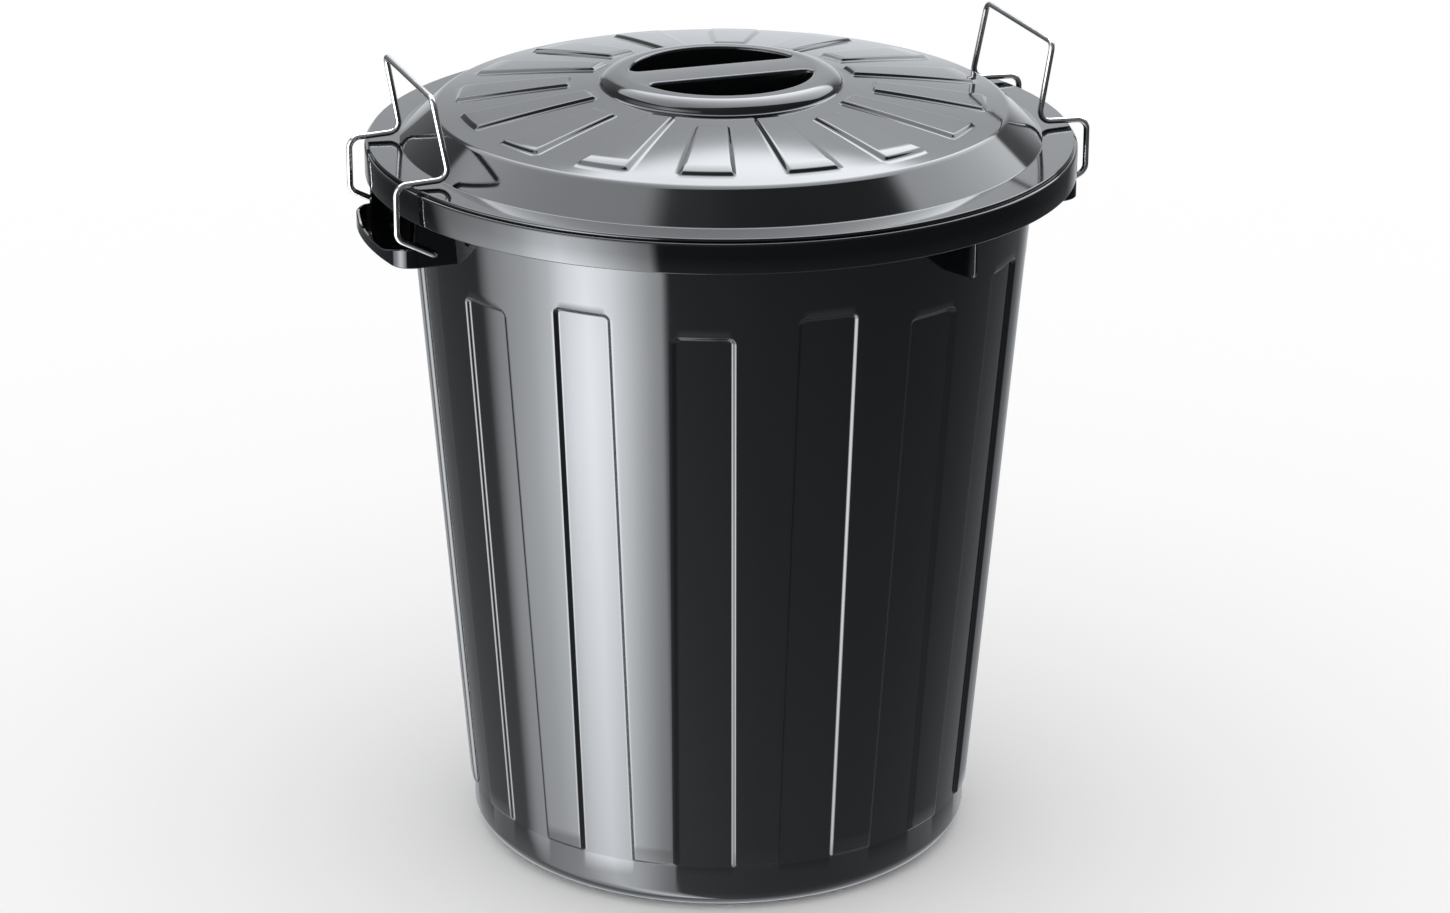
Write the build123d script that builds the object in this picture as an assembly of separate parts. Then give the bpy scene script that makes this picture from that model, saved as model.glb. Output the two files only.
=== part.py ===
"""Round lidded waste bin, about 50 litres, in black plastic with two wire clips.

Four pieces: the tub, the lid and a bent steel clip at each side of the rim.
Frame: the origin is the centre of the base, on the ground. +Z is up, and the
two clips and hand grips lie on the X axis. Sizes are millimetres.
"""

from build123d import *
from math import atan2, degrees, radians, sin, sqrt, tan
import os

# Tub body
rim_height = 466.5
rim_wall_radius = 200.9
foot_wall_radius = 163.0
wall = 2.5
floor_thickness = 3.0
base_rounding = 15.0
foot_ring_width = 14.0
foot_recess = 3.0

# Flutes: shallow channels that rise from the foot and stop below the rim
flute_count = 16
flute_width = 36.3
flute_depth = 2.2
flute_bevel = 2.4
long_flute_stop = 59.1
short_flute_stop = 69.9
foot_band_height = 33.2

# Rim and its downturned skirt
rim_overhang = 24.9
skirt_drop = 18.9
rim_thickness = 2.5
rim_rounding = 4.5

# Hand grips: a tray under each end of the rim, between two end plates
tray_overhang = 6.9
tray_half_width = 52.0
tray_corner = 14.0
tray_drop = 49.9
tray_lip_height = 6.8
tray_wall = 2.6
end_plate_inset = 10.3

# Ribs between the wall and the skirt, one on each long side of the rim
rib_angle = 24.4
rib_thickness = 2.0
rib_drop = 42.7
rib_corner = 4.0

# Lid
lid_wall = 2.2
lid_gap = 0.3
lid_lip_inset = 7.2
lid_crease_overhang = 2.7
lid_side_run = 21.8
lid_side_rise = 19.2
lid_crown_rise = 13.7
lid_crease_rounding = 3.0
lid_shoulder_rounding = 8.0
locating_ring_depth = 10.0
locating_ring_clearance = 1.8
locating_ring_wall = 2.0

# Raised fan panels on the lid
panel_count = 16
panel_angle = 12.2
panel_height = 2.0
panel_bevel = 2.4
panel_edge_margin = 14.0
long_panel_margin = 8.9
short_panel_margin = 18.9

# Lid handle: a round boss with two half-moon pockets and a bar between them
boss_radius = 76.7
boss_height = 7.8
boss_side_run = 11.0
boss_rounding = 12.0
pocket_radius = 57.6
pocket_depth = 36.0
pocket_draft = 4.0
pocket_rounding = 5.0
pocket_mouth_bevel = 1.2
bar_width = 29.4

# Wire clips
wire_diameter = 3.8
clip_side_gap = 1.0
clip_taper = 1.7
hinge_rise = 8.0
hinge_wall_gap = 6.4
clip_outer_gap = 3.0
clip_knee_rise = 12.9
clip_shoulder_gap = 0.5
clip_catch_gap = 1.9
clip_catch_inset = 8.7
clip_loop_height = 50.7
clip_loop_lean = 9.2
clip_bend = 7.0
clip_eye_bend = 4.0
clip_end_depth = 9.0
clip_hole_clearance = 0.3
wire_sides = 8

# Facets in each rounding of a large ring, by its radius
facet_split = 7.0
large_facets = 4
small_facets = 2

# Places that follow from the sizes above
wall_slope = (rim_wall_radius - foot_wall_radius) / rim_height
foot_radius = foot_wall_radius - flute_depth
foot_recess_radius = foot_radius - base_rounding - foot_ring_width
rim_underside = rim_height - rim_thickness
skirt_radius = rim_wall_radius + rim_overhang
skirt_bottom = rim_height - skirt_drop
tray_radius = skirt_radius + tray_overhang
tray_bottom = rim_height - tray_drop
tray_lip_top = tray_bottom + tray_lip_height
end_plate_reach = skirt_radius - end_plate_inset
rib_bottom = rim_height - rib_drop

lid_bottom = rim_height + lid_gap
lid_flange_top = lid_bottom + lid_wall
lid_lip_radius = skirt_radius - lid_lip_inset
lid_crease_radius = rim_wall_radius + lid_crease_overhang
lid_shoulder_radius = lid_crease_radius - lid_side_run
lid_shoulder_height = lid_flange_top + lid_side_rise
boss_foot_height = lid_shoulder_height + lid_crown_rise
boss_top = boss_foot_height + boss_height
crown_slope = lid_crown_rise / (lid_shoulder_radius - boss_radius)
side_slope = lid_side_rise / lid_side_run

wire_radius = wire_diameter / 2
clip_half_width = tray_half_width + clip_side_gap + wire_radius
clip_top_half_width = clip_half_width - clip_taper
hinge_height = tray_bottom + hinge_rise
hinge_reach = foot_wall_radius + wall_slope * hinge_height + hinge_wall_gap
clip_outer_reach = skirt_radius + clip_outer_gap
clip_knee_height = hinge_height + clip_knee_rise
clip_shoulder_height = lid_flange_top + clip_shoulder_gap + wire_radius
clip_catch_reach = lid_crease_radius - clip_catch_inset
clip_catch_height = lid_flange_top + clip_catch_gap + wire_radius
clip_top_reach = clip_catch_reach + clip_loop_lean
clip_top_height = clip_catch_height + clip_loop_height


def wall_radius(z):
    """Outer radius of the tapered tub wall at height z, outside the flutes."""
    return foot_wall_radius + wall_slope * z


def rounded_corner(before, corner, after, radius, facets):
    """Points along the arc that rounds a corner of a (radius, height) outline."""
    tip = Vector(*corner)
    back = (Vector(*before) - tip).normalized()
    ahead = (Vector(*after) - tip).normalized()
    half_turn = radians(back.get_angle(ahead)) / 2
    centre = tip + (back + ahead).normalized() * (radius / sin(half_turn))
    reach = radius / tan(half_turn)
    start = tip + back * reach - centre
    end = tip + ahead * reach - centre
    sweep_angle = radians(start.get_angle(end))
    points = []
    for step in range(facets + 1):
        share = step / facets
        arm = start * sin((1 - share) * sweep_angle) + end * sin(share * sweep_angle)
        place = centre + arm / sin(sweep_angle)
        points.append((place.X, place.Y))
    return points


def revolved(points, rounded=()):
    """Solid of revolution about Z of a closed (radius, height) outline.

    Each entry of rounded is (corner number, radius). A rounding is made of
    flat facets, so that the large rings stay light.
    """
    radii = dict(rounded)
    outline = []
    for number, point in enumerate(points):
        if number in radii:
            before, after = points[number - 1], points[(number + 1) % len(points)]
            facets = large_facets if radii[number] > facet_split else small_facets
            outline += rounded_corner(before, point, after, radii[number], facets)
        else:
            outline.append(point)
    face = make_face(Polyline(*[(r, 0, z) for r, z in outline], close=True))
    return revolve(face, Axis.Z, 360)


def tub_envelope(inset, bottom, top, step_height, corner):
    """Solid tapered body with its stepped foot, moved inwards by inset."""
    lower = wall_radius(0) - flute_depth - inset
    at_step = wall_radius(step_height) - inset
    outline = [
        (0, bottom),
        (lower + wall_slope * bottom, bottom),
        (at_step - flute_depth, step_height),
        (at_step, step_height + flute_bevel),
        (wall_radius(top) - inset, top),
        (0, top),
    ]
    return revolved(outline, [(1, corner)])


def flute_bar(number, inset, top):
    """Bar with bevelled sides, parallel to the wall, that fills one flute."""
    reach = 6 * flute_depth
    spread = reach * flute_bevel / flute_depth
    half = flute_width / 2 + inset * flute_bevel / (2 * flute_depth)
    bottom = -flute_depth - inset
    section = Polyline(
        (bottom - reach, -half),
        (bottom, -half),
        (bottom + reach, -half - spread),
        (bottom + reach, half + spread),
        (bottom, half),
        (bottom - reach, half),
        close=True,
    )
    lean = degrees(atan2(wall_slope, 1))
    bar = extrude(make_face(section), rim_height)
    bar = Pos(foot_wall_radius, 0, 0) * Rot(0, lean, 0) * bar
    bar &= Pos(foot_wall_radius, 0, top / 2) * Box(12 * reach, 4 * flute_width, top)
    return Rot(0, 0, number * 360 / flute_count) * bar


def flutes(inset):
    """All the flute bars, long and short in turn, moved inwards by inset."""
    bars = []
    for number in range(flute_count):
        stop = long_flute_stop if number % 2 == 0 else short_flute_stop
        bars.append(flute_bar(number, inset, rim_height - stop + inset))
    return bars


def fluted_body(inset, bottom, top, corner):
    """Tapered body with the flutes sunk into its side."""
    step = foot_band_height
    body = tub_envelope(inset, bottom, top, step, corner)
    core = tub_envelope(inset + flute_depth, bottom, top, step, corner)
    ring = body - core
    ring &= Pos(0, 0, step + top) * Cylinder(2 * rim_wall_radius, 2 * top)
    return body - [bar & ring for bar in flutes(inset)]


def rim():
    """Flat rim with its downturned skirt and rounded outer edge."""
    inner = rim_wall_radius - wall
    skirt_inside = skirt_radius - rim_thickness
    outline = [
        (inner, rim_height),
        (inner, rim_underside),
        (skirt_inside, rim_underside),
        (skirt_inside, skirt_bottom),
        (skirt_radius, skirt_bottom),
        (skirt_radius, rim_height),
    ]
    return revolved(outline, [(2, rim_rounding - rim_thickness), (5, rim_rounding)])


def tray_plan(radius, half_width, corner):
    """Plan of the grip tray: a round-fronted plate with rounded corners."""
    plan = Circle(radius) & (Pos(radius, 0) * Rectangle(radius, 2 * half_width))
    front = plan.vertices().sort_by(Axis.X)[-2:]
    return fillet(front, corner)


def grip_tray():
    """Open tray with its front lip and two end plates, on the +X side."""
    depth = tray_lip_top - tray_bottom
    inner_plan = tray_plan(
        tray_radius - tray_wall, tray_half_width - tray_wall, tray_corner - tray_wall
    )
    tray = Pos(0, 0, tray_bottom) * extrude(
        tray_plan(tray_radius, tray_half_width, tray_corner), depth
    )
    tray -= Pos(0, 0, tray_bottom + tray_wall) * extrude(inner_plan, depth)
    plate_start = tray_radius / 2
    plate_height = rim_underside - tray_bottom + rim_thickness / 2
    plate = Box(
        end_plate_reach - plate_start, tray_wall, plate_height,
        align=(Align.MIN, Align.CENTER, Align.MIN),
    )
    for side in (-1, 1):
        middle = side * (tray_half_width - tray_wall / 2)
        tray += Pos(plate_start, middle, tray_bottom) * plate
    hole = wire_radius + clip_hole_clearance
    drill = Rot(90, 0, 0) * Cylinder(hole, 4 * tray_half_width)
    return tray - Pos(hinge_reach, 0, hinge_height) * drill


def under_rim_rib():
    """Flat radial rib between the wall and the skirt, below the rim."""
    inner = wall_radius(rib_bottom) - wall / 2
    middle = skirt_radius - rim_thickness / 2
    outer = middle - rim_thickness
    outline = Polyline(
        (inner, 0, rib_bottom),
        (outer, 0, rib_bottom),
        (outer, 0, skirt_bottom),
        (middle, 0, skirt_bottom + rim_thickness),
        (middle, 0, rim_underside + rim_thickness / 2),
        (inner, 0, rim_underside + rim_thickness / 2),
        close=True,
    )
    face = make_face(outline)
    corner = face.vertices().sort_by_distance((outer, 0, rib_bottom))[0]
    return extrude(fillet(corner, rib_corner), rib_thickness / 2, both=True)


def make_tub():
    """One moulding: fluted body, rim, skirt, grips and ribs."""
    body = fluted_body(0, 0, rim_height, base_rounding) + rim()
    for turn in (0, 180):
        body += Rot(0, 0, turn) * grip_tray()
        body += Rot(0, 0, turn - 90 + rib_angle) * under_rim_rib()
    inside_top = rim_height + wall
    body -= fluted_body(wall, floor_thickness, inside_top, base_rounding - wall)
    raised_centre = Pos(0, 0, foot_recess) * Cylinder(
        foot_recess_radius + wall, floor_thickness,
        align=(Align.CENTER, Align.CENTER, Align.MIN),
    )
    return body + raised_centre - Cylinder(foot_recess_radius, 2 * foot_recess)


def lid_form():
    """Solid of the lid's outside: flange, sloping side, crown and boss."""
    outline = [
        (0, lid_bottom),
        (lid_lip_radius, lid_bottom),
        (lid_lip_radius, lid_flange_top),
        (lid_crease_radius, lid_flange_top),
        (lid_shoulder_radius, lid_shoulder_height),
        (boss_radius, boss_foot_height),
        (boss_radius - boss_side_run, boss_top),
        (0, boss_top),
    ]
    rounded = [
        (2, lid_wall / 2),
        (3, lid_crease_rounding),
        (4, lid_shoulder_rounding),
        (5, lid_crease_rounding),
        (6, boss_rounding),
    ]
    return revolved(outline, rounded)


def lid_hollow():
    """Solid of the space under the lid, one wall thickness below its outside."""
    side_drop = lid_wall * sqrt(1 + side_slope**2)
    crown_drop = lid_wall * sqrt(1 + crown_slope**2)
    boss_slope = boss_height / boss_side_run
    boss_drop = lid_wall * sqrt(1 + boss_slope**2)
    mouth = lid_crease_radius - (side_drop - lid_wall) / side_slope
    shoulder = lid_shoulder_radius - (side_drop - crown_drop) / (side_slope - crown_slope)
    shoulder_z = lid_shoulder_height + crown_slope * (lid_shoulder_radius - shoulder) - crown_drop
    boss_foot = boss_radius - (boss_drop - crown_drop) / (boss_slope - crown_slope)
    boss_foot_z = boss_foot_height + crown_slope * (boss_radius - boss_foot) - crown_drop
    crest = boss_radius - boss_side_run - (boss_drop - lid_wall) / boss_slope
    outline = [
        (0, lid_bottom - lid_wall),
        (mouth, lid_bottom - lid_wall),
        (mouth, lid_bottom),
        (shoulder, shoulder_z),
        (boss_foot, boss_foot_z),
        (crest, boss_top - lid_wall),
        (0, boss_top - lid_wall),
    ]
    rounded = [
        (3, lid_shoulder_rounding - lid_wall),
        (4, lid_crease_rounding + lid_wall),
        (5, boss_rounding - lid_wall),
    ]
    return revolved(outline, rounded)


def lid_panel(inner_radius, number):
    """Raised fan panel with bevelled edges, following the crown's slope."""
    outer_radius = lid_shoulder_radius - panel_edge_margin
    inner_crown = boss_foot_height - crown_slope * (inner_radius - boss_radius)
    outer_crown = boss_foot_height - crown_slope * (outer_radius - boss_radius)
    outline = Polyline(
        (inner_radius, 0, inner_crown - lid_wall / 2),
        (outer_radius, 0, outer_crown - lid_wall / 2),
        (outer_radius, 0, outer_crown + panel_height),
        (inner_radius, 0, inner_crown + panel_height),
        close=True,
    )
    panel = Rot(0, 0, -panel_angle / 2) * revolve(make_face(outline), Axis.Z, panel_angle)
    top = panel.faces().sort_by(SortBy.AREA)[-2:].sort_by(Axis.Z)[-1]
    panel = chamfer(top.edges(), panel_bevel, panel_height, reference=top)
    return Rot(0, 0, number * 360 / panel_count) * panel


def half_moon(radius, offset):
    """Part of a circle beyond a chord that lies offset from its centre."""
    plan = Circle(radius) & (Pos(0, offset + radius) * Rectangle(2 * radius, 2 * radius))
    return fillet(plan.vertices(), pocket_rounding)


def pocket(inset):
    """Half-moon pocket on the +Y side of the bar, narrowing to its floor."""
    depth = pocket_depth + inset
    lean = depth * tan(radians(pocket_draft))
    radius = pocket_radius + inset
    offset = bar_width / 2 - inset
    low_plan = Pos(0, 0, boss_top - depth) * half_moon(radius - lean, offset + lean)
    high_plan = Pos(0, 0, boss_top) * half_moon(radius, offset)
    return loft([low_plan, high_plan])


def pocket_mouth():
    """Bevel round the mouth of a pocket."""
    bevel = pocket_mouth_bevel
    half_bar = bar_width / 2
    low_plan = Pos(0, 0, boss_top - bevel) * half_moon(pocket_radius, half_bar)
    high_plan = Pos(0, 0, boss_top) * half_moon(pocket_radius + bevel, half_bar - bevel)
    return loft([low_plan, high_plan])


def locating_ring():
    """Ring under the lid that drops inside the tub's mouth."""
    radius = rim_wall_radius - wall - locating_ring_clearance
    bottom = lid_bottom - locating_ring_depth
    top = lid_flange_top + side_slope * (lid_crease_radius - radius) - lid_wall / 2
    inner = radius - locating_ring_wall
    return revolved([(inner, bottom), (radius, bottom), (radius, top), (inner, top)])


def make_lid():
    """One moulding: flange, crown, fan panels, pocketed boss and ring."""
    lid = lid_form()
    for number in range(panel_count):
        margin = long_panel_margin if number % 2 == 0 else short_panel_margin
        lid += lid_panel(boss_radius + margin, number)
    hollow = lid_hollow()
    for turn in (0, 180):
        hollow -= Rot(0, 0, turn) * pocket(lid_wall)
    lid -= hollow
    for turn in (0, 180):
        lid -= Rot(0, 0, turn) * pocket(0)
        lid -= Rot(0, 0, turn) * pocket_mouth()
    return lid + locating_ring()


def make_clip(turn):
    """Bent wire clip, whose two ends hinge in a grip's end plates."""
    half = clip_half_width
    leg = [
        (hinge_reach, half - clip_end_depth, hinge_height),
        (hinge_reach, half, hinge_height),
        (clip_outer_reach, half, clip_knee_height),
        (clip_outer_reach, half, clip_shoulder_height),
        (clip_catch_reach, half, clip_catch_height),
        (clip_top_reach, clip_top_half_width, clip_top_height),
    ]
    other_leg = [(x, -y, z) for x, y, z in reversed(leg)]
    bends = [clip_eye_bend] + [clip_bend] * 8 + [clip_eye_bend]
    path = FilletPolyline(*(leg + other_leg), radius=bends)
    start = Plane(origin=path @ 0, z_dir=path % 0)
    return Rot(0, 0, turn) * sweep(start * RegularPolygon(wire_radius, wire_sides), path)


pieces = {
    "tub": make_tub(),
    "lid": make_lid(),
    "clip_right": make_clip(0),
    "clip_left": make_clip(180),
}

os.makedirs("parts", exist_ok=True)
for name, piece in pieces.items():
    export_step(piece, f"parts/{name}.step")
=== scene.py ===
"""Looks of a black, glossy, round bin with a loose lid and two wire clips.

Everything is in metres, in the frame of the CAD model: +Z up, the origin at
the centre of the base, the clips and hand grips on the X axis. Sizes that the
CAD boxes give are read from the frame, and the rest are named here.
"""

from math import atan, atan2, cos, hypot, pi, radians, sin, sqrt, tan

import bmesh
import bpy
import numpy as np
from mathutils import Matrix, Vector


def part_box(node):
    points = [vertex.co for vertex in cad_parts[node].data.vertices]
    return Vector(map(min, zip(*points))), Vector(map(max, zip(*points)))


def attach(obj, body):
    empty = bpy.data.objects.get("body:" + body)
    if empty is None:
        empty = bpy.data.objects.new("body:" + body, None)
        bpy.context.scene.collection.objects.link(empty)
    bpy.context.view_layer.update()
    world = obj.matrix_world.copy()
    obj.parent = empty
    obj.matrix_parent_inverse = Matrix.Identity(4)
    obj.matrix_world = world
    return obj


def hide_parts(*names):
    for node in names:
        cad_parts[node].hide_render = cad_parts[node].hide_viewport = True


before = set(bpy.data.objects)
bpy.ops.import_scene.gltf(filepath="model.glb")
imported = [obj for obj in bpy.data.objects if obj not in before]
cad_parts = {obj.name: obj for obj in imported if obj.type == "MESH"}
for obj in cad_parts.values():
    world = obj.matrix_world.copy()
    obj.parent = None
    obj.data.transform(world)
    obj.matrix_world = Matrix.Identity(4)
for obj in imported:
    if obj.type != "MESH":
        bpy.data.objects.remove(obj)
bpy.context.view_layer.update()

mm = 0.001
tiny = 1e-6

# Places across a bevel, as shares of its width
bevel_steps = [i / 8 - 0.5 for i in range(9)]

# Sizes read from the CAD boxes
tub_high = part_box("tub")[1]
lid_low, lid_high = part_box("lid")
clip_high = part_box("clip_right")[1]
rim_height = tub_high[2]
skirt_radius = tub_high[1]
tray_radius = tub_high[0]
boss_top = lid_high[2]
ring_bottom = lid_low[2]
wire_radius = 1.9 * mm
clip_outer_reach = clip_high[0] - wire_radius
clip_top_height = clip_high[2] - wire_radius

# Tub
rim_wall_radius = 200.9 * mm
foot_wall_radius = 163.0 * mm
wall = 2.5 * mm
base_rounding = 15 * mm
foot_ring_width = 14 * mm
foot_recess = 3 * mm
floor_thickness = 3 * mm
skirt_drop = 18.9 * mm
rim_thickness = 2.5 * mm
rim_rounding = 1.6 * mm
wall_slope = (rim_wall_radius - foot_wall_radius) / rim_height
rim_underside = rim_height - rim_thickness
rim_corner_bend = 1.5 * mm
rim_inner_bend = 1.0 * mm
rim_run = 5 * mm
skirt_bottom = rim_height - skirt_drop
skirt_edge = 0.8 * mm
plain_heights = (45, 80, 130, 180, 230, 280, 330, 370, 386, 391, 414, 425, 436, 447, 456)
wall_row_heights = [z * mm for z in plain_heights]

# Flutes in the wall
flute_count = 16
flute_width = 36.3 * mm
flute_depth = 2.2 * mm
flute_bevel = 3.0 * mm
flute_corner = 3.5 * mm
long_flute_top = rim_height - 59.1 * mm
short_flute_top = rim_height - 69.9 * mm
foot_band_height = 33.2 * mm
flute_corner_rows = [0.4 * mm * i for i in range(-2, 9)]

# Inner edge of the ring that the tub stands on
foot_ring_inner = foot_wall_radius - flute_depth - base_rounding - foot_ring_width

# Hand grips under the rim: a tray with a low front lip between two end plates
tray_half_width = 52 * mm
tray_corner = 14 * mm
tray_wall = 2.6 * mm
tray_bottom = rim_height - 49.9 * mm
tray_lip_top = tray_bottom + 6.8 * mm
tray_lip_rise = 5.5 * mm
tray_lip_rise_start = 0.45
tray_edge = 0.7 * mm
tray_back_radius = rim_wall_radius - wall_slope * (rim_height - tray_bottom) - wall * 0.95
tray_start = sqrt(tray_back_radius**2 - tray_half_width**2)
tray_corner_y = tray_half_width - tray_corner
tray_corner_x = sqrt((tray_radius - tray_corner) ** 2 - tray_corner_y**2)
tray_corner_tilt = atan2(tray_corner_y, tray_corner_x)
end_plate_reach = skirt_radius - 10.3 * mm
end_plate_top = rim_underside + rim_thickness / 2
end_plate_taper = 14 * mm

# Ribs under the rim
rib_angle = radians(24.4)
rib_thickness = 2 * mm
rib_bottom = rim_height - 42.7 * mm
rib_corner = 4 * mm
rib_bevel = 0.5 * mm

# Lid
lid_wall = 2.2 * mm
lid_lip_radius = skirt_radius - 2.1 * mm
lid_lip_bend = 0.9 * mm
lid_crease_bend = 1.8 * mm
lid_shoulder_bend = 8 * mm
lid_bottom = rim_height + 0.3 * mm
lid_flange_top = lid_bottom + lid_wall
lid_crease_radius = rim_wall_radius + 2.7 * mm
lid_shoulder_radius = lid_crease_radius - 21.8 * mm
lid_shoulder_height = lid_flange_top + 19.2 * mm
lid_side_slope = (lid_shoulder_height - lid_flange_top) / (lid_crease_radius - lid_shoulder_radius)
boss_radius = 76.7 * mm
boss_foot_height = lid_shoulder_height + 13.7 * mm
boss_crest_radius = 61 * mm
boss_foot_bend = 2.2 * mm
boss_foot_run = 4 * mm
dome_start_degrees = 14
dome_steps = 18
crown_bulge = 0.8 * mm
crown_row_radii = [r * mm for r in (172, 155, 140, 125, 112, 102, 91)]
crown_slope = (boss_foot_height - lid_shoulder_height) / (lid_shoulder_radius - boss_radius)
locating_ring_radius = rim_wall_radius - wall - 1.8 * mm
locating_ring_wall = 2 * mm

# Fan panels on the lid
panel_half_angle = radians(5.6)
panel_bevel_angle = radians(1.35)
panel_height = 2.0 * mm
panel_bevel = 3.2 * mm
panel_outer_radius = lid_shoulder_radius - 15.2 * mm
long_panel_radius = boss_radius + 10.0 * mm
short_panel_radius = boss_radius + 20.0 * mm

# Pockets and bar of the lid's handle
pocket_radius = 57.6 * mm
pocket_depth = 36 * mm
pocket_draft = radians(4)
pocket_corner = 5 * mm
pocket_rounding = 2.0 * mm
pocket_fillet = 3 * mm
half_bar = 14.7 * mm
bar_points = 40
gate_radius = 2.2 * mm
gate_depth = 0.35 * mm
gate_centre = 0.2 * mm

# Clip bends, by the place of each corner of the wire
hinge_reach = foot_wall_radius + wall_slope * (tray_bottom + 8 * mm) + 6.4 * mm
hinge_height = tray_bottom + 8.0 * mm
clip_half_width = tray_half_width + 1.0 * mm + wire_radius
clip_top_half_width = clip_half_width - 1.7 * mm
clip_end_depth = 9 * mm
clip_knee_height = hinge_height + 12.9 * mm
clip_shoulder_height = lid_flange_top + 0.5 * mm + wire_radius
clip_catch_reach = lid_crease_radius - 8.7 * mm
clip_catch_height = lid_flange_top + 1.9 * mm + wire_radius
clip_top_reach = clip_catch_reach + 9.2 * mm
clip_bend = 7 * mm
clip_top_bend = 5.5 * mm
clip_eye_bend = 4 * mm

# The camera, as fitted to the photograph, with its lens and sensor in millimetres
camera_azimuth = radians(19.66)
camera_elevation = radians(20.54)
camera_roll = radians(-0.23)
camera_distance = 2.822
camera_aim_sideways = 3.3 * mm
camera_aim_height = 249.3 * mm
camera_lens = 107.45
camera_sensor = 36
camera_depth = 100

# Colours and roughness of the plastics and the wire
tub_black = (0.0020, 0.0023, 0.0027)
tub_roughness = 0.06
lid_black = (0.0022, 0.0025, 0.0029)
lid_roughness = 0.07
plastic_ior = 1.49
steel_dark = (0.44, 0.44, 0.44)
steel_light = (0.58, 0.58, 0.57)

# Floor, and the tint of the studio's light as the gloss shows it
floor_half_width = 30.0
studio_tint = (0.965, 1.0, 1.045)


def ease(low, high, value):
    """Smooth step from 0 at low to 1 at high, for numbers or arrays."""
    share = np.clip((value - low) / (high - low), 0, 1)
    return share * share * (3 - 2 * share)


def rounded_path(points, radii, steps=8):
    """Path through points whose inner corners are rounded to the given radii."""
    corners = [Vector(p) for p in points]
    path = [corners[0]]
    for i, radius in enumerate(radii, start=1):
        tip = corners[i]
        back = (corners[i - 1] - tip).normalized()
        ahead = (corners[i + 1] - tip).normalized()
        if radius == 0:
            path.append(tip)
            continue
        half = back.angle(ahead) / 2
        centre = tip + (back + ahead).normalized() * (radius / sin(half))
        start = tip + back * (radius / tan(half)) - centre
        end = tip + ahead * (radius / tan(half)) - centre
        turn = start.angle(end)
        for step in range(steps + 1):
            share = step / steps
            arm = start * sin((1 - share) * turn) + end * sin(share * turn)
            path.append(centre + arm / sin(turn))
    path.append(corners[-1])
    return path


def arc_points(centre, radius, start, end, steps):
    """Points of an arc about a centre in the plane, from one angle to another."""
    points = []
    for step in range(steps + 1):
        turn = start + (end - start) * step / steps
        points.append((centre[0] + radius * cos(turn), centre[1] + radius * sin(turn)))
    return points


def make_object(name, vertices, faces, material, smooth=True):
    """Mesh object from vertices and faces, shaded smooth or flat."""
    mesh = bpy.data.meshes.new(name)
    mesh.from_pydata([tuple(v) for v in vertices], [], faces)
    mesh.validate()
    mesh.polygons.foreach_set("use_smooth", [smooth] * len(mesh.polygons))
    mesh.update()
    piece = bpy.data.objects.new(name, mesh)
    bpy.context.scene.collection.objects.link(piece)
    piece.data.materials.append(material)
    return piece


def face_outward(piece):
    """Turn every face of a closed piece outward."""
    form = bmesh.new()
    form.from_mesh(piece.data)
    bmesh.ops.recalc_face_normals(form, faces=form.faces)
    form.to_mesh(piece.data)
    form.free()


def sharpen(piece, degrees_limit):
    """Keep edges sharper than the limit crisp in a smooth-shaded piece."""
    piece.data.set_sharp_from_angle(angle=radians(degrees_limit))


def turned(points, turn):
    """Points turned about the Z axis."""
    rotation = Matrix.Rotation(turn, 3, "Z")
    return [rotation @ Vector(p) for p in points]


def grid_faces(rows, columns, closed=True):
    """Quads of a grid of points, whose columns close into a ring if asked."""
    faces = []
    last = columns if closed else columns - 1
    for i in range(rows - 1):
        low, high = i * columns, (i + 1) * columns
        for j in range(last):
            k = (j + 1) % columns
            faces.append((low + j, low + k, high + k, high + j))
    return faces


def flute_columns():
    """Columns of one flute's sector: (offset in metres, share of the rest)."""
    edge = flute_width / 2
    inner = [0, 5 * mm, 10 * mm, 14 * mm, edge - flute_bevel / 2 - 1 * mm]
    bevel = [edge + flute_bevel * s for s in bevel_steps]
    rest = [0.08, 0.25, 0.5, 0.75, 1.0]
    half = [(s, 0.0) for s in inner + bevel] + [(edge + flute_bevel / 2, f) for f in rest]
    other = [(-s, f) for s, f in reversed(half[1:-1])]
    return other + half


def tub_azimuths(radius):
    """Azimuth of every column of the wall at a radius.

    Also gives each column's offset from the middle of its flute, and the
    number of that flute.
    """
    sector = 2 * pi / flute_count
    angles, offsets, numbers = [], [], []
    for number in range(flute_count):
        for offset, rest in flute_columns():
            side = -1 if offset < 0 else 1
            angle = offset / radius
            angle += side * rest * (sector / 2 - abs(offset) / radius)
            angles.append(number * sector + angle)
            offsets.append(abs(offset) + rest * flute_width)
            numbers.append(number)
    return np.array(angles), np.array(offsets), np.array(numbers)


def flute_relief(height, offsets, numbers):
    """How far the wall is sunk at a height, from 0 to the flutes' depth."""
    top = np.where(numbers % 2 == 0, long_flute_top, short_flute_top)
    across = offsets - flute_width / 2 + flute_corner
    upward = height - top + flute_corner
    outside = np.hypot(np.maximum(across, 0), np.maximum(upward, 0))
    inside = np.minimum(np.maximum(across, upward), 0)
    distance = outside + inside - flute_corner
    flute = 1 - ease(-flute_bevel / 2, flute_bevel / 2, distance)
    foot = 1 - ease(-flute_bevel / 2, flute_bevel / 2, height - foot_band_height)
    return flute_depth * (1 - (1 - flute) * (1 - foot))


def wall_heights():
    """Heights of the wall's rows, close together where the wall steps."""
    heights = wall_row_heights + [foot_band_height + flute_bevel * s for s in bevel_steps]
    for top in (short_flute_top, long_flute_top):
        heights += [top - flute_corner + rise for rise in flute_corner_rows]
        heights += [top + flute_bevel * s for s in bevel_steps if s >= 0]
    return sorted(set(round(z, 6) for z in heights))


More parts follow.
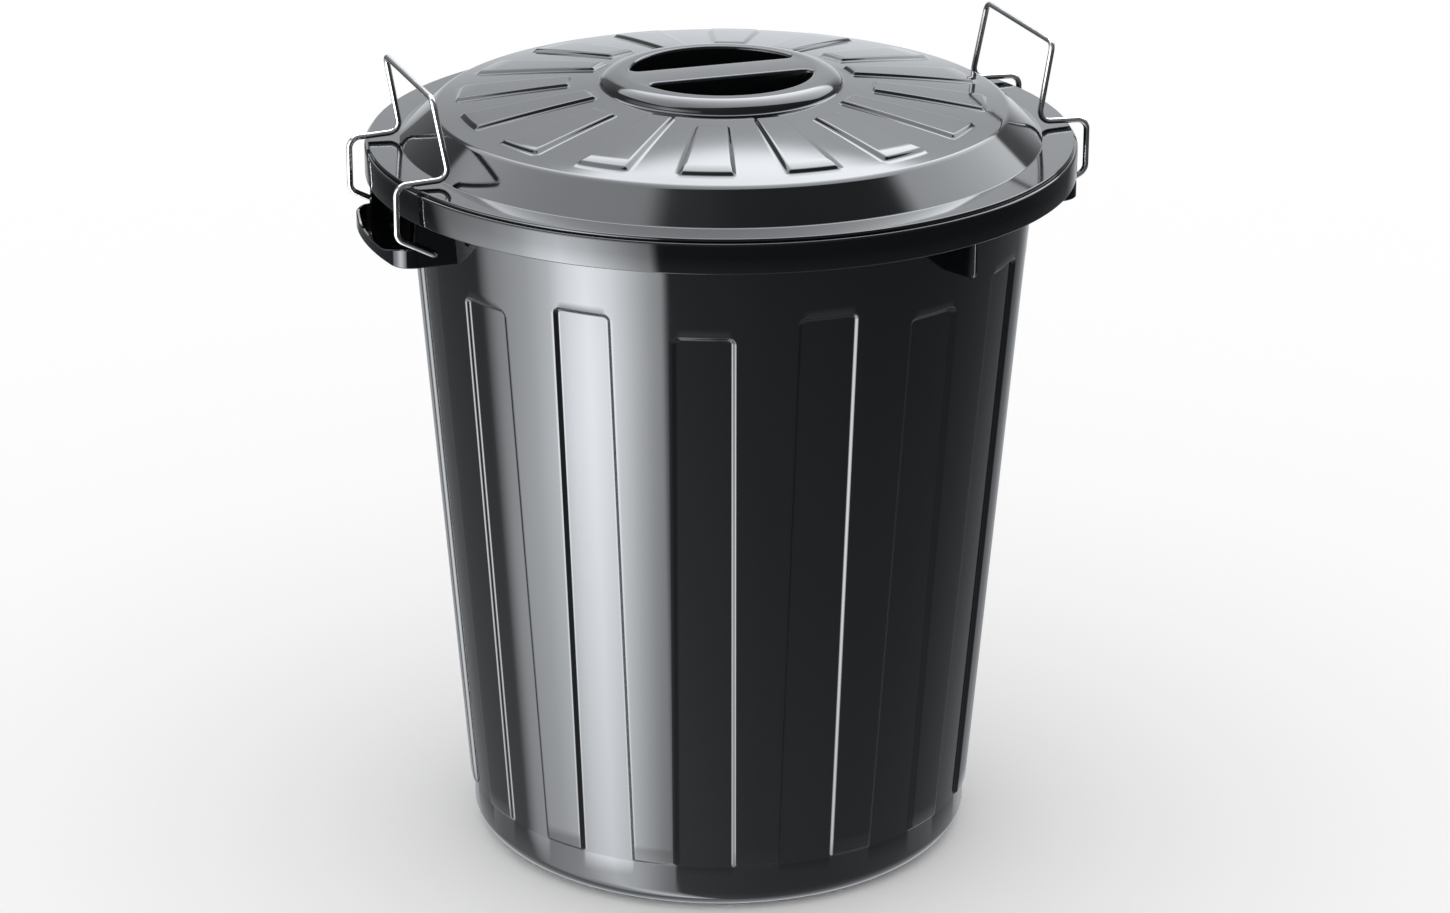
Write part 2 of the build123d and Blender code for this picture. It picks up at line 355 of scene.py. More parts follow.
def wall_ring(height, inset):
    """Points of the wall at one height, moved inwards by inset."""
    radius = foot_wall_radius + wall_slope * height
    angles, offsets, numbers = tub_azimuths(radius)
    r = radius - flute_relief(height, offsets, numbers) - inset
    return ring_points(r, angles, height)


def plain_ring(radius, height):
    """Points of a circle, in the same columns as the wall."""
    angles, _, _ = tub_azimuths(rim_wall_radius)
    return ring_points(radius, angles, height)


def ring_points(radius, angles, height):
    """Points at the given angles and height, as an array."""
    x, y = radius * np.cos(angles), radius * np.sin(angles)
    return np.stack([x, y, np.full_like(x, height)], 1)


def base_rings(inset, bottom, rounding):
    """Rings of the rounded foot, from the flat of the base up to the wall."""
    rings = []
    steps = 10
    lean = atan(wall_slope)
    for step in range(steps + 1):
        turn = step / steps * (pi / 2 - lean)
        z = bottom + rounding * (1 - cos(turn))
        back = rounding * (1 - sin(turn) - (1 - cos(turn)) * tan(lean))
        rings.append(wall_ring(z, inset + back))
    return rings


def underside_rings():
    """Rings of the raised underside, out to the ring that the tub stands on."""
    profile = [
        (-1.5 * mm, foot_recess),
        (-0.5 * mm, foot_recess - 0.4 * mm),
        (0, foot_recess / 2),
        (0.4 * mm, 0.3 * mm),
        (1.2 * mm, 0),
    ]
    return [plain_ring(foot_ring_inner + out, z) for out, z in profile]


def floor_rings():
    """Rings of the step in the floor inside, from the foot to the raised middle."""
    profile = [
        (1.2 * mm, 0),
        (0.3 * mm, 0.5 * mm),
        (-0.3 * mm, foot_recess - 0.5 * mm),
        (-1.2 * mm, foot_recess),
    ]
    edge = foot_ring_inner + wall
    return [plain_ring(edge + out, floor_thickness + rise) for out, rise in profile]


def rim_rings():
    """Rings of the rim and its skirt, from the wall's outer face to its inner one."""
    skirt_inside = skirt_radius - rim_thickness
    inner_radius = rim_wall_radius - wall
    profile = rounded_path(
        [
            (rim_wall_radius - wall_slope * rim_run, 0, rim_height - rim_run),
            (rim_wall_radius, 0, rim_underside),
            (skirt_inside, 0, rim_underside),
            (skirt_inside, 0, skirt_bottom),
            (skirt_radius, 0, skirt_bottom),
            (skirt_radius, 0, rim_height),
            (inner_radius, 0, rim_height),
            (inner_radius - wall_slope * rim_run, 0, rim_height - rim_run),
        ],
        [rim_corner_bend, rim_inner_bend, skirt_edge, skirt_edge, rim_rounding, skirt_edge],
        steps=7,
    )
    return [plain_ring(point.x, point.z) for point in profile]


def make_tub_shell(material):
    """The tub's wall, floor, rim and skirt as one closed moulding."""
    rings = underside_rings()
    rings += base_rings(0, 0, base_rounding)
    rings += [wall_ring(z, 0) for z in wall_heights()]
    rings += rim_rings()
    rings += [wall_ring(z, wall) for z in reversed(wall_heights())]
    rings += reversed(base_rings(wall, floor_thickness, base_rounding - wall))
    rings += floor_rings()
    columns = len(rings[0])
    last = (len(rings) - 1) * columns
    faces = grid_faces(len(rings), columns)
    faces.append(tuple(reversed(range(columns))))
    faces.append(tuple(range(last, last + columns)))
    return make_object("tub_shell", np.concatenate(rings), faces, material)


def tray_plan(inset):
    """Plan of a face of a grip's upright wall: end plate, rounded front, end plate.

    The inset is how far the face lies inside the outer one.
    """
    length = end_plate_reach - tray_start
    centre = (tray_corner_x, tray_corner_y)
    tilt = tray_corner_tilt
    side = [(tray_start + step / 4 * length, tray_half_width - inset) for step in range(5)]
    side += arc_points(centre, tray_corner - inset, pi / 2, tilt, 10)
    front = arc_points((0, 0), tray_radius - inset, tilt, -tilt, 24)[1:-1]
    return side + front + [(x, -y) for x, y in reversed(side)]


def tray_top(x, y):
    """Height of a grip's upright wall: full at the end plates, low at the front."""
    if abs(y) > tray_half_width - tiny and x <= end_plate_reach + tiny:
        return end_plate_top
    return tray_lip_top + tray_lip_rise * ease(tray_lip_rise_start, 1.0, abs(y) / tray_half_width)


def wall_shift(x, height):
    """How far a point of an end plate moves out with the wall's taper."""
    near = 1 - ease(rim_wall_radius - end_plate_taper, rim_wall_radius, x)
    return wall_slope * (height - tray_bottom) * near


def grip_row(places, others, inset, heights):
    """Row of a grip's upright wall, moved by inset from its places to the others."""
    row = []
    for (x, y), (other_x, other_y), z in zip(places, others, heights):
        share = inset / hypot(other_x - x, other_y - y)
        x += (other_x - x) * share
        y += (other_y - y) * share
        row.append((x + wall_shift(x, z), y, z))
    return row


def grip_rows():
    """Rows of a grip's upright wall, up its outer face and down its inner one."""
    outer, inner = tray_plan(0), tray_plan(tray_wall)
    tops = [tray_top(x, y) for x, y in outer]
    below_tops = [top - tray_edge for top in tops]
    count = len(outer)
    return [
        grip_row(outer, inner, tray_edge, [tray_bottom] * count),
        grip_row(outer, inner, 0, [tray_bottom + tray_edge] * count),
        grip_row(outer, inner, 0, below_tops),
        grip_row(outer, inner, tray_edge, tops),
        grip_row(inner, outer, tray_edge, tops),
        grip_row(inner, outer, 0, below_tops),
        grip_row(inner, outer, 0, [tray_bottom + tray_wall] * count),
    ]


def make_grip(name, turn, material):
    """One hand grip: floor, low front lip and two end plates, as one closed form."""
    rows = grip_rows()
    count = len(rows[0])
    last = (len(rows) - 1) * count
    vertices = [point for row in rows for point in row]
    faces = grid_faces(len(rows), count, closed=False)
    span = atan2(tray_half_width, tray_start)
    plan = arc_points((0, 0), tray_back_radius, -span, span, 12)[1:-1]
    backs = []
    for start in (0, last):
        height = vertices[start][2]
        arc = list(range(len(vertices), len(vertices) + len(plan)))
        vertices += [(x, y, height) for x, y in plan]
        faces.append(tuple(range(start, start + count)) + tuple(arc))
        backs.append([start + count - 1] + arc + [start])
    low, high = backs
    for j in range(len(low) - 1):
        faces.append((low[j + 1], low[j], high[j], high[j + 1]))
    for end in (0, count - 1):
        faces.append(tuple(range(end, last + end + 1, count)))
    piece = make_object(name, turned(vertices, turn), faces, material)
    face_outward(piece)
    sharpen(piece, 40)
    return piece


def make_rib(name, turn, material):
    """Flat rib between the wall and the skirt, with a rounded lower corner."""
    inner_low = foot_wall_radius + wall_slope * rib_bottom - wall / 2
    inner_high = inner_low + wall_slope * (end_plate_top - rib_bottom)
    middle = skirt_radius - rim_thickness / 2
    outer = middle - rim_thickness
    outline = rounded_path(
        [
            (inner_low, 0, rib_bottom),
            (outer, 0, rib_bottom),
            (outer, 0, skirt_bottom),
            (middle, 0, skirt_bottom + rim_thickness),
            (middle, 0, end_plate_top),
            (inner_high, 0, end_plate_top),
        ],
        [rib_corner, 0, 0, 0],
    )
    count = len(outline)
    vertices = [p + Vector((0, side * rib_thickness / 2, 0)) for side in (-1, 1) for p in outline]
    faces = [tuple(range(count)), tuple(reversed(range(count, 2 * count)))]
    for j in range(count):
        k = (j + 1) % count
        faces.append((k, j, count + j, count + k))
    piece = make_object(name, turned(vertices, turn), faces, material, smooth=False)
    bevel = piece.modifiers.new("soft edges", "BEVEL")
    bevel.width = rib_bevel
    bevel.segments = 3
    return piece


def panel_columns():
    """Azimuth of every column of the lid.

    Also gives each column's angle from the middle of its panel, and the
    number of that panel.
    """
    sector = 2 * pi / flute_count
    edge = panel_half_angle
    half = [edge * s for s in (0, 0.3, 0.6, 0.8)]
    half += [edge + panel_bevel_angle * s for s in bevel_steps]
    half += [edge + (sector / 2 - edge) * s for s in (0.25, 0.5, 0.75, 1.0)]
    offsets = [-a for a in reversed(half[1:-1])] + half
    angles, numbers = [], []
    for number in range(flute_count):
        angles += [number * sector + a for a in offsets]
        numbers += [number] * len(offsets)
    return np.array(angles), np.abs(np.array(offsets * flute_count)), np.array(numbers)


def panel_relief(radius, offsets, numbers):
    """How high the fan panels stand at a radius."""
    inner = np.where(numbers % 2 == 0, long_panel_radius, short_panel_radius)
    across = 1 - ease(-0.5, 0.5, (offsets - panel_half_angle) / panel_bevel_angle)
    outward = 1 - ease(-panel_bevel / 2, panel_bevel / 2, radius - panel_outer_radius)
    inward = ease(-panel_bevel / 2, panel_bevel / 2, radius - inner)
    return panel_height * across * outward * inward


def crown_height(radius):
    """Height of the gently crowned top between the shoulder and the boss."""
    share = (radius - boss_radius) / (lid_shoulder_radius - boss_radius)
    bulge = crown_bulge * 4 * share * (1 - share)
    return boss_foot_height - crown_slope * (radius - boss_radius) + bulge


def crown_radii():
    """Radii of the lid's rows between the shoulder and the boss."""
    radii = list(crown_row_radii)
    for edge in (panel_outer_radius, short_panel_radius, long_panel_radius):
        radii += [edge + panel_bevel * s for s in bevel_steps]
    return sorted(radii, reverse=True)


def dome_rows():
    """(radius, 0, height) of the boss's dome, from its foot to its crest."""
    reach = boss_radius - boss_crest_radius
    rise = boss_top - boss_foot_height
    rows = []
    for step in range(dome_steps + 1):
        turn = radians(dome_start_degrees + (90 - dome_start_degrees) * step / dome_steps)
        radius = boss_crest_radius + reach * cos(turn)
        rows.append(Vector((radius, 0, boss_foot_height + rise * sin(turn))))
    return rows


def lid_rows():
    """(radius, 0, height) of the lid's rows from its lip to the boss's crest."""
    outer = rounded_path(
        [
            (lid_lip_radius, 0, lid_bottom),
            (lid_lip_radius, 0, lid_flange_top),
            (lid_crease_radius, 0, lid_flange_top),
            (lid_shoulder_radius, 0, lid_shoulder_height),
            (boss_radius, 0, boss_foot_height),
        ],
        [lid_lip_bend, lid_crease_bend, lid_shoulder_bend],
        steps=9,
    )[:-1]
    crown = [Vector((r, 0, crown_height(r))) for r in crown_radii()]
    dome = dome_rows()
    near = boss_radius + boss_foot_run
    foot = rounded_path(
        [(near, 0, crown_height(near)), (boss_radius, 0, crown_height(boss_radius)), dome[1]],
        [boss_foot_bend],
        steps=6,
    )[:-1]
    return outer + crown + foot + dome[1:]


def half_moon(radius, offset, corner, arc_shares, chord_count):
    """Outline of a half-moon: its arc side, then its chord side.

    The arc side is sampled at the given shares of its length, so that its
    points answer those of the crest around it.
    """
    centre_y = offset + corner
    reach = sqrt((radius - corner) ** 2 - centre_y**2)
    centre = (reach, centre_y)
    lift = atan2(centre_y, reach)
    middle = (lift - pi / 2) / 2
    right_corner = arc_points(centre, corner, middle, lift, 12)
    arc = right_corner + arc_points((0, 0), radius, lift, pi - lift, 180)[1:-1]
    arc += [(-x, y) for x, y in reversed(right_corner)]
    right_end = arc_points(centre, corner, middle, -pi / 2, 12)
    chord = [(-x, y) for x, y in right_end] + right_end[::-1]
    chord_shares = [i / (chord_count + 1) for i in range(1, chord_count + 1)]
    return resample(arc, arc_shares) + resample(chord, chord_shares)


def resample(points, shares):
    """Points at given shares of a path's length."""
    line = np.array(points)
    length = np.concatenate([[0], np.cumsum(np.hypot(*np.diff(line, axis=0).T))])
    where = np.array(shares) * length[-1]
    xs = np.interp(where, length, line[:, 0])
    ys = np.interp(where, length, line[:, 1])
    return list(zip(xs, ys))


def pocket_rows():
    """(radius, half bar, corner, height) of the rows down into a pocket."""
    rows = []
    for step in range(8):
        turn = step / 7 * pi / 2
        grow = pocket_rounding * (1 - sin(turn))
        drop = pocket_rounding * (1 - cos(turn))
        rows.append((pocket_radius + grow, half_bar - grow, pocket_corner + grow, boss_top - drop))
    floor = boss_top - pocket_depth
    draft = tan(pocket_draft)
    for depth in (0.3, 0.6, 1.0):
        z = boss_top - pocket_rounding
        z -= depth * (pocket_depth - pocket_rounding - pocket_fillet)
        lean = (boss_top - z) * draft
        rows.append((pocket_radius - lean, half_bar + lean, pocket_corner, z))
    for step in range(1, 6):
        turn = step / 5 * pi / 2
        lean = pocket_depth * draft + pocket_fillet * (1 - cos(turn))
        z = floor + pocket_fillet * (1 - sin(turn))
        rows.append((pocket_radius - lean, half_bar + lean, pocket_corner, z))
    return rows


def add_pocket(vertices, faces, ring, bar, side):
    """Half of the boss's top with its pocket, between half the crest and the bar.

    Side is 1 for the back pocket and -1 for the front one.
    """
    shares = [abs(atan2(vertices[i][1], vertices[i][0])) / pi for i in ring]
    loop = ring + bar
    for radius, offset, corner, height in pocket_rows():
        outline = half_moon(radius, offset, corner, shares, len(bar))
        new_loop = list(range(len(vertices), len(vertices) + len(outline)))
        vertices += [(x, side * y, height) for x, y in outline]
        for j in range(len(loop)):
            k = (j + 1) % len(loop)
            faces.append((loop[j], loop[k], new_loop[k], new_loop[j])[::side])
        loop = new_loop
    faces.append(tuple(loop)[::side])


def make_lid_shell(material):
    """The lid's outer skin with panels, boss and pockets, given its thickness."""
    angles, offsets, numbers = panel_columns()
    profile = lid_rows()
    columns = len(angles)
    vertices = []
    for point in profile:
        for angle, rise in zip(angles, panel_relief(point.x, offsets, numbers)):
            vertices.append((point.x * cos(angle), point.x * sin(angle), point.z + rise))
    faces = grid_faces(len(profile), columns)
    crest = (len(profile) - 1) * columns
    bar = list(range(len(vertices), len(vertices) + bar_points))
    for step in range(1, bar_points + 1):
        x = boss_crest_radius * (2 * step / (bar_points + 1) - 1)
        vertices.append((x, 0, boss_top))
    zero = int(np.argmin(np.abs(angles)))
    for side in (1, -1):
        ring = [crest + (zero + side * j) % columns for j in range(columns // 2 + 1)]
        add_pocket(vertices, faces, ring, bar, side)
    piece = make_object("lid_shell", vertices, faces, material)
    thickness = piece.modifiers.new("moulded wall", "SOLIDIFY")
    thickness.thickness = lid_wall
    thickness.offset = -1
    return piece


def make_ring(name, profile, material, segments=192):
    """Closed ring of revolution about Z from (radius, height) points."""
    vertices = []
    for radius, height in profile:
        for j in range(segments):
            angle = 2 * pi * j / segments
            vertices.append((radius * cos(angle), radius * sin(angle), height))
    count = len(profile)
    faces = []
    for i in range(count):
        low, high = i * segments, (i + 1) % count * segments
        for j in range(segments):
            k = (j + 1) % segments
            faces.append((low + j, low + k, high + k, high + j))
    return make_object(name, vertices, faces, material)


def make_locating_ring(material):
    """Ring under the lid that drops inside the tub's mouth."""
    side_height = lid_flange_top + lid_side_slope * (lid_crease_radius - locating_ring_radius)
    top = side_height - lid_wall / 2
    outer, inner = locating_ring_radius, locating_ring_radius - locating_ring_wall
    edge = 0.6 * mm
    profile = [
        (inner, top),
        (inner, ring_bottom + edge),
        (inner + edge, ring_bottom),
        (outer - edge, ring_bottom),
        (outer, ring_bottom + edge),
        (outer, top),
    ]
    piece = make_ring("lid_locating_ring", profile, material)
    sharpen(piece, 40)
    return piece


def make_gate_mark(material):
    """Small moulding mark in the middle of the lid's bar."""
    profile = [
        (gate_centre, boss_top - gate_depth),
        (gate_radius, boss_top - gate_depth),
        (gate_radius, boss_top - 0.1 * mm),
        (gate_radius * 0.8, boss_top - 0.005 * mm),
        (gate_radius * 0.4, boss_top - 0.002 * mm),
        (gate_centre, boss_top - 0.001 * mm),
    ]
    return make_ring("lid_gate_mark", profile, material, segments=32)


def wire_mesh(name, path):
    """Mesh of a round wire along a path."""
    curve = bpy.data.curves.new(name, "CURVE")
    curve.dimensions = "3D"
    curve.bevel_depth = wire_radius
    curve.bevel_resolution = 6
    curve.use_fill_caps = True
    spline = curve.splines.new("POLY")
    spline.points.add(len(path) - 1)
    for point, place in zip(spline.points, path):
        point.co = (*place, 1)
    spline.use_smooth = True
    wire = bpy.data.objects.new(name + "_curve", curve)
    bpy.context.scene.collection.objects.link(wire)
    shaped = wire.evaluated_get(bpy.context.evaluated_depsgraph_get())
    mesh = bpy.data.meshes.new_from_object(shaped)
    bpy.data.objects.remove(wire)
    return mesh


def make_clip(name, side, material):
    """Bent wire clip. Side is 1 for the right clip and -1 for the left one."""
    leg = [
        (hinge_reach, clip_half_width - clip_end_depth, hinge_height),
        (hinge_reach, clip_half_width, hinge_height),
        (clip_outer_reach, clip_half_width, clip_knee_height),
        (clip_outer_reach, clip_half_width, clip_shoulder_height),
        (clip_catch_reach, clip_half_width, clip_catch_height),
        (clip_top_reach, clip_top_half_width, clip_top_height),
    ]
    other = [(x, -y, z) for x, y, z in reversed(leg)]
    bends = [clip_eye_bend, clip_bend, clip_bend, clip_bend, clip_top_bend]
    path = rounded_path(leg + other, bends + bends[::-1], steps=10)
    mesh = wire_mesh(name, [(side * p.x, p.y, p.z) for p in path])
    mesh.name = name
    mesh.polygons.foreach_set("use_smooth", [True] * len(mesh.polygons))
    mesh.materials.clear()
    mesh.materials.append(material)
    piece = bpy.data.objects.new(name, mesh)
    bpy.context.scene.collection.objects.link(piece)
    sharpen(piece, 50)
    return piece


def new_material(name):
    """Material with an empty node tree and its Principled shader."""
    material = bpy.data.materials.new(name)
    material.use_nodes = True
    return material, material.node_tree, material.node_tree.nodes["Principled BSDF"]


def add_noise(tree, scale, detail, stretch=(1, 1, 1)):
    """Noise from 0 to 1 over the object's own coordinates."""
    place = tree.nodes.new("ShaderNodeTexCoord")
    mapping = tree.nodes.new("ShaderNodeMapping")
    mapping.inputs["Scale"].default_value = stretch
    noise = tree.nodes.new("ShaderNodeTexNoise")
    noise.inputs["Scale"].default_value = scale
    noise.inputs["Detail"].default_value = detail
    tree.links.new(place.outputs["Object"], mapping.inputs["Vector"])
    tree.links.new(mapping.outputs["Vector"], noise.inputs["Vector"])
    return noise.outputs["Fac"]


def spread(tree, noise, low, high):
    """A noise's usual range, 0.3 to 0.7, spread from low to high."""
    node = tree.nodes.new("ShaderNodeMapRange")
    node.inputs["From Min"].default_value = 0.3
    node.inputs["From Max"].default_value = 0.7
    node.inputs["To Min"].default_value = low
    node.inputs["To Max"].default_value = high
    tree.links.new(noise, node.inputs["Value"])
    return node.outputs["Result"]


def add_tint(tree, shader, noise, first, second):
    """Give a shader a colour between two, by a noise."""
    tint = tree.nodes.new("ShaderNodeMix")
    tint.data_type = "RGBA"
    tint.inputs["A"].default_value = (*first, 1)
    tint.inputs["B"].default_value = (*second, 1)
    tree.links.new(noise, tint.inputs["Factor"])
    tree.links.new(tint.outputs["Result"], shader.inputs["Base Color"])


def add_bump(tree, shader, noise, strength, distance):
    """Give a shader fine relief from a noise."""
    bump = tree.nodes.new("ShaderNodeBump")
    bump.inputs["Strength"].default_value = strength
    bump.inputs["Distance"].default_value = distance
    tree.links.new(noise, bump.inputs["Height"])
    tree.links.new(bump.outputs["Normal"], shader.inputs["Normal"])


def glossy_plastic(name, colour, roughness):
    """Black moulded plastic: high gloss, with faint sink marks and flow lines."""
    material, tree, shader = new_material(name)
    shader.inputs["IOR"].default_value = plastic_ior
    flow = add_noise(tree, scale=9, detail=3, stretch=(1, 1, 0.25))
    add_tint(tree, shader, flow, colour, [c * 1.5 for c in colour])
    haze = add_noise(tree, scale=22, detail=4)
    rough = spread(tree, haze, roughness * 0.85, roughness * 1.25)
    tree.links.new(rough, shader.inputs["Roughness"])
    sinks = add_noise(tree, scale=14, detail=1, stretch=(1, 1, 0.4))
    add_bump(tree, shader, sinks, strength=0.12, distance=0.4 * mm)
    return material


def drawn_wire(name):
    """Bright drawn steel wire with fine lengthwise die lines."""
    material, tree, shader = new_material(name)
    shader.inputs["Metallic"].default_value = 1.0
    patches = add_noise(tree, scale=70, detail=3)
    add_tint(tree, shader, patches, steel_dark, steel_light)
    rough = spread(tree, patches, 0.15, 0.24)
    tree.links.new(rough, shader.inputs["Roughness"])
    lines = add_noise(tree, scale=900, detail=2, stretch=(1, 1, 0.08))
    add_bump(tree, shader, lines, strength=0.06, distance=0.05 * mm)
    return material


def math_node(tree, operation, first, second=None):
    """Math node whose inputs are numbers or other nodes' outputs."""
    node = tree.nodes.new("ShaderNodeMath")
    node.operation = operation
    for socket, value in zip(node.inputs, (first, second)):
        if value is None:
            continue
        if isinstance(value, (int, float)):
            socket.default_value = value
        else:
            tree.links.new(value, socket)
    return node.outputs[0]


def combine(tree, operation, first, *others):
    """Several values added or multiplied together."""
    for value in others:
        first = math_node(tree, operation, first, value)
    return first


def curve_node(tree, value, stops, peak):
    """Curve of straight runs through (place, level) stops, as a colour ramp.

    The peak is a level that no stop passes.
    """
    first, last = stops[0][0], stops[-1][0]
    share = math_node(tree, "DIVIDE", math_node(tree, "SUBTRACT", value, first), last - first)
    ramp = tree.nodes.new("ShaderNodeValToRGB")
    tree.links.new(share, ramp.inputs["Fac"])
    elements = ramp.color_ramp.elements
    while len(elements) < len(stops):
        elements.new(0.5)
    for element, (place, level) in zip(elements, stops):
        element.position = (place - first) / (last - first)
        element.color = (level / peak,) * 3 + (1,)
    return math_node(tree, "MULTIPLY", ramp.outputs["Color"], peak)


def step_node(tree, value, low, high):
    """Smooth step from 0 at low to 1 at high, or down where high is lower."""
    node = tree.nodes.new("ShaderNodeMapRange")
    node.interpolation_type = "SMOOTHSTEP"
    rising = high > low
    node.inputs["From Min"].default_value = min(low, high)
    node.inputs["From Max"].default_value = max(low, high)
    node.inputs["To Min"].default_value = 0 if rising else 1
    node.inputs["To Max"].default_value = 1 if rising else 0
    tree.links.new(value, node.inputs["Value"])
    return node.outputs["Result"]


def add_side_softbox(tree, azimuth, elevation):
    """Tall softbox on the left, brightest in its middle, with a hard right edge.

    Its stops are (degrees, level), as in all curves over azimuth or elevation.
    """
    stops = [
        (-180, 0), (-124, 0), (-116, 3.2), (-98, 6.6), (-88, 10), (-80, 15.5), (-72, 19),
        (-62, 16), (-53, 10.5), (-46, 6.6), (-41.5, 5.2), (-40.3, 0), (180, 0),
    ]
    rise = [
        (-90, 0.3), (-38, 0.4), (-33, 0.7), (-28, 1), (-17, 0.62), (0, 0.4),
        (30, 0.2), (40, 0), (90, 0),
    ]
    across = curve_node(tree, azimuth, stops, 20)
    return combine(tree, "MULTIPLY", across, curve_node(tree, elevation, rise, 1))


def add_top_softbox(tree, x, y, z):
    """Wide softbox overhead and behind, seen in the lid.

    Its places are slopes: how far aside or back the light lies for its height.
    """
    height = math_node(tree, "MAXIMUM", z, 0.02)
    aside = math_node(tree, "DIVIDE", x, height)
    back = math_node(tree, "DIVIDE", y, height)
    stops = [(-3, 3.4), (-0.3, 3.6), (0.5, 5.2), (1.2, 4.7), (3, 2.6)]
    return combine(
        tree,
        "MULTIPLY",
        curve_node(tree, aside, stops, 6),
        step_node(tree, aside, -0.84, -0.73),
        step_node(tree, aside, 3.0, 2.2),
        step_node(tree, back, -0.05, 0.02),
        step_node(tree, back, 1.60, 1.46),
        step_node(tree, z, 0.0, 0.05),
    )


def add_surroundings(tree, azimuth, elevation):
    """White sweep behind the bin, and the dim studio in front of it."""
    room_across = [
        (-180, 1.7), (-150, 1.2), (-125, 1.5), (-100, 1.6), (-40, 1.4), (-20, 1.15), (0, 0.95),
        (45, 0.8), (80, 0.8), (100, 1.0), (120, 1.3), (150, 1.7), (180, 1.7),
    ]
    room_rise = [
        (-90, 0.6), (-36, 0.56), (-30, 0.36), (-26, 0.25), (-17, 0.08), (-8, 0.1),
        (10, 0.25), (90, 0.35),
    ]
    sweep_across = [
        (-180, 0), (130, 0), (146, 1.2), (156, 1.2), (165, 1.0), (176, 0.95), (180, 0.5),
    ]
    sweep_rise = [
        (-90, 0), (-24, 0.1), (-10, 0.8), (2, 0.9), (12, 0.72), (20, 0.9), (26, 1.25),
        (31, 1.5), (36, 1.4), (50, 0.3), (90, 0),
    ]
    room = combine(
        tree,
        "MULTIPLY",
        curve_node(tree, azimuth, room_across, 2),
        curve_node(tree, elevation, room_rise, 1),
    )
    sweep = combine(
        tree,
        "MULTIPLY",
        curve_node(tree, azimuth, sweep_across, 1.2),
        curve_node(tree, elevation, sweep_rise, 1.5),
    )
    return combine(tree, "ADD", room, sweep)


def split_gloss(tree, plain, glossy, surface):
    """Give a surface one shader for gloss to see, and a plain one for the rest."""
    paths = tree.nodes.new("ShaderNodeLightPath")
    blend = tree.nodes.new("ShaderNodeMixShader")
    tree.links.new(paths.outputs["Is Glossy Ray"], blend.inputs["Fac"])
    tree.links.new(plain, blend.inputs[1])
    tree.links.new(glossy, blend.inputs[2])
    tree.links.new(blend.outputs["Shader"], surface)


def make_world():
    """Even light all round, with the studio's softboxes seen in the gloss.

    Azimuth is measured from the front, and it is positive to the right.
    """
    world = bpy.data.worlds.new("studio")
    bpy.context.scene.world = world
    world.use_nodes = True
    tree = world.node_tree
    place = tree.nodes.new("ShaderNodeTexCoord")
    axes = tree.nodes.new("ShaderNodeSeparateXYZ")
    tree.links.new(place.outputs["Generated"], axes.inputs["Vector"])
    x, y, z = axes.outputs["X"], axes.outputs["Y"], axes.outputs["Z"]
    front = math_node(tree, "MULTIPLY", y, -1.0)
    azimuth = math_node(tree, "DEGREES", math_node(tree, "ARCTAN2", x, front))
    elevation = math_node(tree, "DEGREES", math_node(tree, "ARCSINE", z))
    strength = combine(
        tree,
        "ADD",
        add_side_softbox(tree, azimuth, elevation),
        add_top_softbox(tree, x, y, z),
        add_surroundings(tree, azimuth, elevation),
    )
    studio = tree.nodes["Background"]
    studio.inputs["Color"].default_value = (*studio_tint, 1)
    tree.links.new(strength, studio.inputs["Strength"])
    white = tree.nodes.new("ShaderNodeBackground")
    white.inputs["Color"].default_value = (1, 1, 1, 1)
    surface = tree.nodes["World Output"].inputs["Surface"]
    split_gloss(tree, white.outputs["Background"], studio.outputs["Background"], surface)


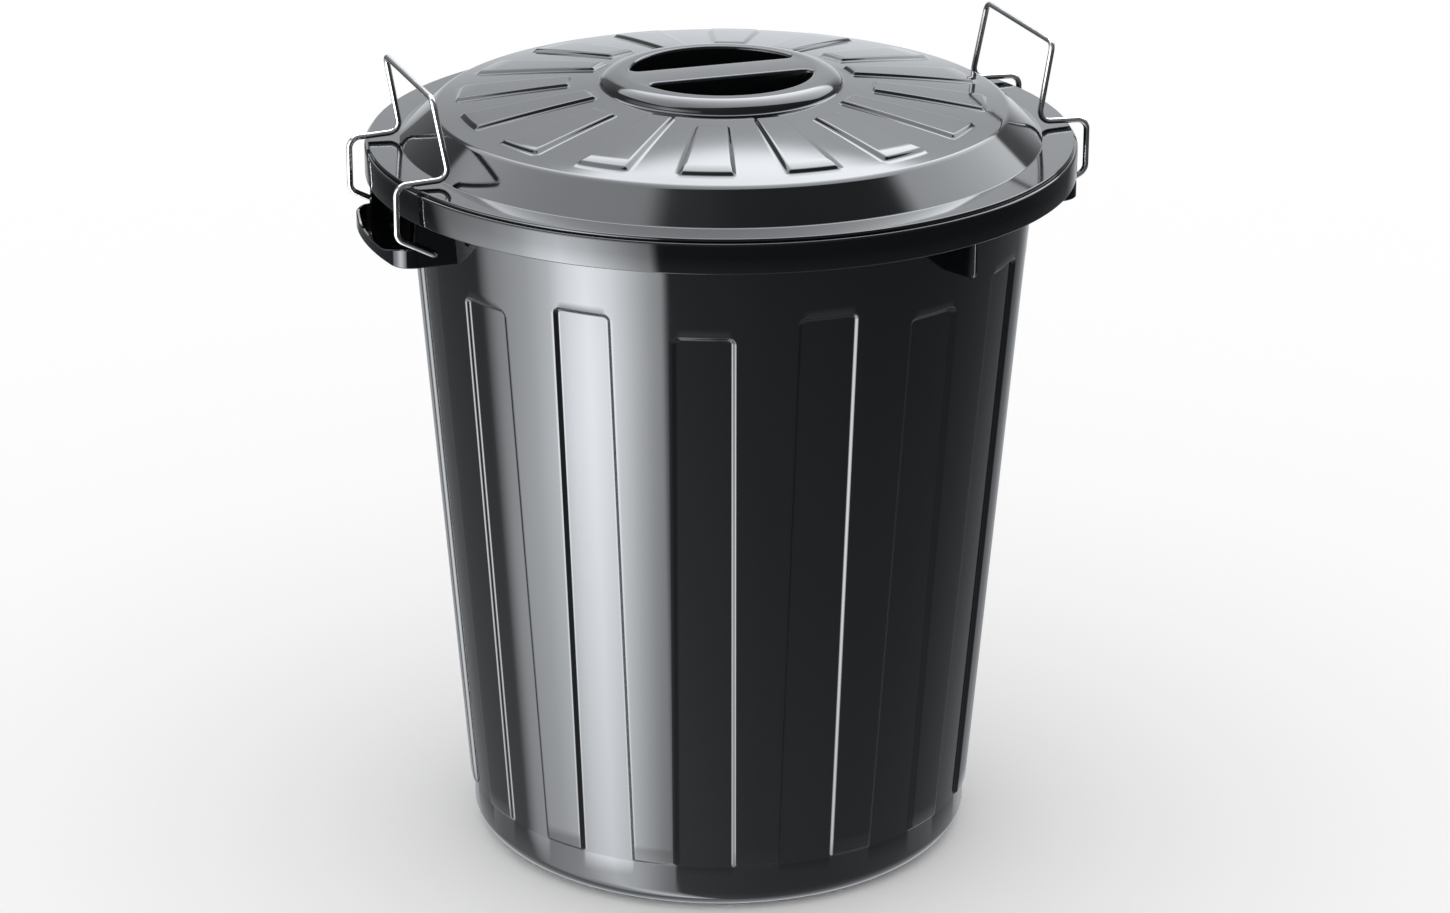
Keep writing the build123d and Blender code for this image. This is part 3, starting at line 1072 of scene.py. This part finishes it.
def make_floor():
    """Plain white floor that keeps the bin's soft shadow, and is clear in its gloss."""
    material, tree, shader = new_material("white_floor")
    tree.nodes.remove(shader)
    diffuse = tree.nodes.new("ShaderNodeBsdfDiffuse")
    diffuse.inputs["Color"].default_value = (1, 1, 1, 1)
    clear = tree.nodes.new("ShaderNodeBsdfTransparent")
    surface = tree.nodes["Material Output"].inputs["Surface"]
    split_gloss(tree, diffuse.outputs["BSDF"], clear.outputs["BSDF"], surface)
    half = floor_half_width
    corners = [(-half, -half, 0), (half, -half, 0), (half, half, 0), (-half, half, 0)]
    floor = make_object("floor", corners, [(0, 1, 2, 3)], material, smooth=False)


def make_camera():
    """Camera at the photograph's place, lens and tilt."""
    data = bpy.data.cameras.new("camera")
    data.lens = camera_lens
    data.sensor_width = camera_sensor
    data.clip_end = camera_depth
    camera = bpy.data.objects.new("camera", data)
    bpy.context.scene.collection.objects.link(camera)
    turn = Matrix.Rotation(-camera_azimuth, 3, "Z")
    target = turn @ Vector((camera_aim_sideways, 0, camera_aim_height))
    back = turn @ Vector((0, -cos(camera_elevation), sin(camera_elevation)))
    camera.location = target + back * camera_distance
    aim = (-back).to_track_quat("-Z", "Y").to_matrix()
    camera.rotation_euler = (aim @ Matrix.Rotation(-camera_roll, 3, "Z")).to_euler()
    bpy.context.scene.camera = camera


tub_plastic = glossy_plastic("black_tub_plastic", tub_black, tub_roughness)
lid_plastic = glossy_plastic("black_lid_plastic", lid_black, lid_roughness)
steel = drawn_wire("bright_steel_wire")

tub_pieces = [
    make_tub_shell(tub_plastic),
    make_grip("tub_right_grip", 0, tub_plastic),
    make_grip("tub_left_grip", pi, tub_plastic),
    make_rib("tub_front_rib", rib_angle - pi / 2, tub_plastic),
    make_rib("tub_back_rib", rib_angle + pi / 2, tub_plastic),
]
lid_pieces = [
    make_lid_shell(lid_plastic),
    make_locating_ring(lid_plastic),
    make_gate_mark(lid_plastic),
]
clips = {
    "clip_right": make_clip("clip_right_wire", 1, steel),
    "clip_left": make_clip("clip_left_wire", -1, steel),
}
for piece in tub_pieces:
    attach(piece, "tub")
    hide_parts("tub")
for piece in lid_pieces:
    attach(piece, "lid")
    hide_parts("lid")
for node, piece in clips.items():
    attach(piece, node)
    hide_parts(node)

make_world()
make_floor()
make_camera()
bpy.context.scene.view_settings.view_transform = "Standard"
